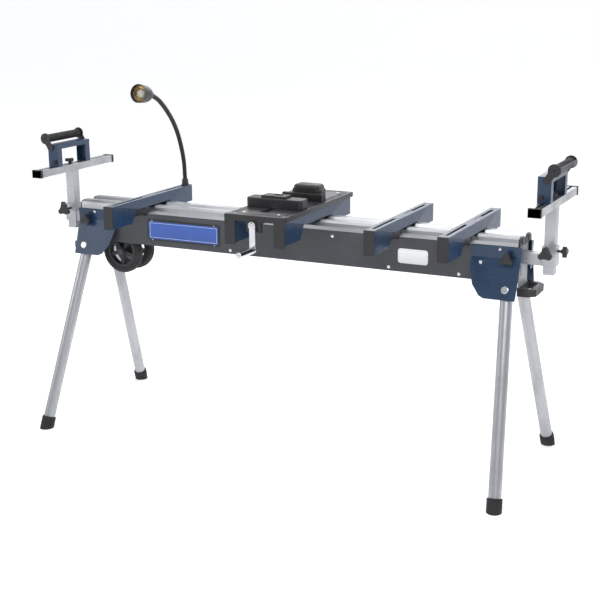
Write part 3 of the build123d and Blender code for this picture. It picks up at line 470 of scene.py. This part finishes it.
def make_wheels():
    """Tyres with a crowned tread cut by grooves, and a ribbed hub cover."""
    for face_name, face in FACES.items():
        low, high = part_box(f"wheel_tyre_{face_name}")
        centre = (low + high) / 2
        width, radius = high.y - low.y, (high.z - low.z) / 2
        tread = []
        for step in range(29):
            share = step / 28
            edge = abs(2 * share - 1)
            groove = 0.0022 if step % 7 == 3 else 0.0
            tread.append((share * width, radius - 0.0075 * max(0.0, edge - 0.55) ** 2 / 0.2 - groove))
        profile = [(0.0004, TYRE_BORE), (0.0004, radius - 0.014)] + tread
        profile += [(width - 0.0004, radius - 0.014), (width - 0.0004, TYRE_BORE)]
        start = Vector((centre.x, low.y, centre.z))

        def sipes(angle, reach, along, edge_radius=radius):
            cut = 0.0012 * (sin(48 * angle + 60 * along) > 0.55) * (reach > edge_radius - 0.004)
            return reach - cut

        verts, faces = lathe(profile + profile[:1], start, (0, 1, 0), 192, scallop=sipes)
        tyre = piece_from(f"tyre_tread_{face_name}", verts, faces[:len(profile) * 192], f"wheel_{face_name}",
                          "black_rubber",
                          LOOKS["black_rubber"])
        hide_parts(f"wheel_tyre_{face_name}")
        out = Vector((0, face, 0))
        hub = Vector((centre.x, high.y if face > 0 else low.y, centre.z))
        ring = [(-0.002, 0.0455), (-0.002, 0.0565), (0.0, 0.0565), (0.0012, 0.0545), (0.0012, 0.0475),
                (0.0, 0.0455)]
        piece_from(f"rim_band_{face_name}", *closed_lathe(ring, hub - out * 0.0026, out, 72),
                   f"wheel_{face_name}",
                   "black_plastic", LOOKS["black_plastic"])


def make_rollers():
    for side_name in SIDES:
        low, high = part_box(f"support_roller_{side_name}")
        centre, length = (low + high) / 2, high.y - low.y
        radius = (high.z - low.z) / 2
        profile = [(0, 0), (0, 0.0039), (0.0054, 0.0039), (0.0056, radius - 0.003),
                   (0.0068, radius - 0.0008), (0.010, radius - 0.0001)]
        grooves = 13
        for index in range(grooves):
            at = 0.014 + (length - 0.028) * index / (grooves - 1)
            profile += [(at - 0.0012, radius - 0.0001), (at - 0.0007, radius - 0.0011),
                        (at + 0.0007, radius - 0.0011), (at + 0.0012, radius - 0.0001)]
        profile += [(length - along, reach) for along, reach in reversed(profile[:6])]
        roller = piece_from(f"roller_sleeve_{side_name}",
                            *lathe(profile, (centre.x, low.y, centre.z), (0, 1, 0), 48),
                            f"roller_{side_name}", "black_rubber", LOOKS["black_rubber"])
        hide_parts(f"support_roller_{side_name}")


# ---- small fittings ------------------------------------------------------
def bolt(place, axis, radius, height, recess=0.42):
    """Hex head on a washer, with a dished top."""
    washer = lathe([(0, 0), (0, radius * 1.28), (0.0009, radius * 1.28), (0.0013, radius * 1.2),
                    (0.0013, 0)], place, axis, 36)
    head = lathe([(0.001, 0), (0.001, radius), (height * 0.78, radius), (height, radius * 0.86),
                  (height, radius * recess),
                  (height * 0.82, radius * recess * 0.8), (height * 0.82, 0)], place, axis, 6)
    return [washer, head]


def dome(place, axis, radius, height):
    """Round-headed screw with a socket in it."""
    rows = [(0, 0), (0, radius)]
    rows += [(height * sin(step * pi / 12), radius * (0.36 + 0.64 * cos(step * pi / 12)))
             for step in range(1, 7)]
    rows += [(height * 0.45, radius * 0.33), (height * 0.45, 0)]
    return lathe(rows, place, axis, 24)


PANEL_SCREWS = [(-0.590, 0.722), (-0.190, 0.640), (0.180, 0.720), (0.540, 0.712), (0.372, 0.640),
                (0.600, 0.640)]
PLATE_HOLE = (0.669, 0.684)
PIVOT_REACH = 0.0235          # from a leg's centre line to the outer face of its plate


def make_bolts():
    heads = []
    for face_name, face in FACES.items():
        low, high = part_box(f"beam_panel_{face_name}")
        y = high.y if face > 0 else low.y
        out = (0, face, 0)
        heads += [dome((x, y, z), out, 0.0056, 0.0027) for x, z in PANEL_SCREWS]
        for side in SIDES.values():
            heads += bolt((side * PLATE_HOLE[0], y + face * 0.0034, PLATE_HOLE[1]), out, 0.0078, 0.0052)
            for spot in ((0.726, 0.728), (0.768, 0.672)):
                heads.append(dome((side * spot[0], y + face * 0.0034, spot[1]), out, 0.0052, 0.0026))
    for name, joint in JOINTS.items():
        if name.endswith("_fold"):
            outward = Vector(joint["axis"]) * (1 if "rear" in name else -1) * (1 if "right" in name else -1)
            outward *= 1 if outward.y * (1 if "rear" in name else -1) > 0 else -1
            heads += bolt(Vector(joint["pos_m"]) + outward * PIVOT_REACH, outward, 0.0088, 0.0044)
    piece_from("stand_bolts", *joined(heads), "beam", "bright_steel", LOOKS["bright_steel"])


def make_vise_screws():
    low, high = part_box("vise_plate")
    heads = []
    for x in (low.x + 0.042, high.x - 0.042):
        for y in (low.y + 0.034, high.y - 0.034):
            heads.append(dome((x, y, high.z - 0.0004), (0, 0, 1), 0.0050, 0.0016))
    piece_from("bed_screws", *joined(heads), "beam", "bright_steel", LOOKS["bright_steel"])


def make_jaw_faces():
    """Serrated strips on the gripping faces of the two jaws."""
    for node, body, toward in (("vise_jaw_moving", "vise_slide", 1), ("vise_jaw_fixed", "beam", -1)):
        low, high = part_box(node)
        y = high.y if toward > 0 else low.y
        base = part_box("vise_plate")[1].z + 0.003
        left, right, teeth = low.x + 0.016, high.x - 0.016, []
        if toward < 0:
            left, right = low.x + 0.004, high.x - 0.004
        count = int((right - left) / 0.005)
        for index in range(count):
            x = left + (index + 0.5) * (right - left) / count
            teeth.append(slab((x - 0.0017, min(y, y + toward * 0.0012), base),
                              (x + 0.0017, max(y, y + toward * 0.0012), base + 0.018)))
        piece_from(f"{node}_ribs", *joined(teeth), body, "black_plastic", LOOKS["black_plastic"],
                   bevel=0.0003)


CAP_DEPTH, CAP_LIP = 0.0095, 0.0012


def make_bar_caps():
    """Moulded caps over the ends of the cross bars."""
    for side_name in SIDES:
        low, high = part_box(f"cross_bar_{side_name}")
        caps = []
        for start, end in ((low.y, low.y + CAP_DEPTH), (high.y - CAP_DEPTH, high.y)):
            caps.append(slab((low.x - CAP_LIP, start, low.z - CAP_LIP),
                             (high.x + CAP_LIP, end, high.z + CAP_LIP)))
        piece_from(f"bar_end_caps_{side_name}", *joined(caps), f"post_{side_name}", "black_plastic",
                   LOOKS["black_plastic"], bevel=0.0014)


FOOT_X, FOOT_SPREAD = 0.806, 0.223      # where a foot stands, and how far from its pivot along y
FOOT_RINGS = (0.014, 0.021, 0.028, 0.035)


def make_foot_bands():
    """Raised grip rings round each rubber foot."""
    for side_name, side in SIDES.items():
        for face_name, face in FACES.items():
            name = f"leg_{face_name}_{side_name}"
            pivot = Vector(JOINTS[name + "_fold"]["pos_m"])
            foot = Vector((side * FOOT_X, pivot.y + face * FOOT_SPREAD, 0))
            up = (pivot - foot).normalized()
            rings = []
            for at in FOOT_RINGS:
                rows = [(at - 0.0016, 0.0228), (at - 0.0009, 0.0238), (at + 0.0009, 0.0238),
                        (at + 0.0016, 0.0228)]
                rings.append(closed_lathe(rows, foot, up, 36))
            piece_from(f"foot_rings_{face_name}_{side_name}", *joined(rings), name, "black_rubber",
                       LOOKS["black_rubber"])


def make_knob_centres():
    """Bright screw ends in the middle of the clamp knobs."""
    for side_name in SIDES:
        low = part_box(f"arm_lock_knob_{side_name}")[0]
        centre = Vector(JOINTS[f"arm_lock_{side_name}_turn"]["pos_m"])
        place = (centre.x, low.y + 0.0004, centre.z)
        piece_from(f"arm_lock_screw_{side_name}", *dome(place, (0, -1, 0), 0.0050, 0.0004),
                   f"arm_lock_{side_name}",
                   "bright_steel", LOOKS["bright_steel"])


def make_crank_nut():
    centre = Vector(JOINTS["crank_turn"]["pos_m"])
    heads = bolt((centre.x, centre.y - 0.0085, centre.z), (0, -1, 0), 0.0085, 0.0055)
    piece_from("crank_nut", *joined(heads), "vise_screw", "bright_steel", LOOKS["bright_steel"])


def make_badge_rivets():
    low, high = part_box("badge_frame")
    inset = 0.0032
    heads = []
    for x in (low.x + 0.020, high.x - 0.020):
        for z in (low.z + inset, high.z - inset):
            heads.append(dome((x, low.y, z), (0, -1, 0), 0.0022, 0.0009))
    piece_from("badge_rivets", *joined(heads), "beam", "bright_steel", LOOKS["bright_steel"])


# ---- floor ---------------------------------------------------------------
def make_floor():
    """Pale sweep: floor that curves up into a back wall."""
    rows = [(-14.0, 0.0), (7.0, 0.0)]
    rows += [(7.0 + 3.0 * sin(step * pi / 24), 3.0 - 3.0 * cos(step * pi / 24)) for step in range(1, 13)]
    rows.append((10.0, 12.0))
    verts = [(x, y, z) for y, z in rows for x in (-22.0, 22.0)]
    faces = [(2 * i, 2 * i + 1, 2 * i + 3, 2 * i + 2) for i in range(len(rows) - 1)]
    mesh = bpy.data.meshes.new("floor")
    mesh.from_pydata(verts, [], faces)
    mesh.shade_smooth()
    floor = bpy.data.objects.new("floor", mesh)
    bpy.context.scene.collection.objects.link(floor)
    look = Finish("floor_paper", Emission_Color=(1, 1, 1, 1), Emission_Strength=0.35)
    shade = look.mix(look.noise(3, 3), (0.90, 0.90, 0.90), (0.87, 0.87, 0.875))
    look.bump(look.noise(300, 3), 0.05)
    mesh.materials.append(look.finish(shade, look.fit(look.noise(20, 2), 0.3, 0.7, 0.7, 0.85)))


make_camera()
make_lights()
make_floor()
dress_nodes()
make_lamp()
make_wheels()
make_rollers()
make_bolts()
make_vise_screws()
make_jaw_faces()
make_bar_caps()
make_foot_bands()
make_knob_centres()
make_crank_nut()
make_badge_rivets()

bpy.context.view_layer.update()
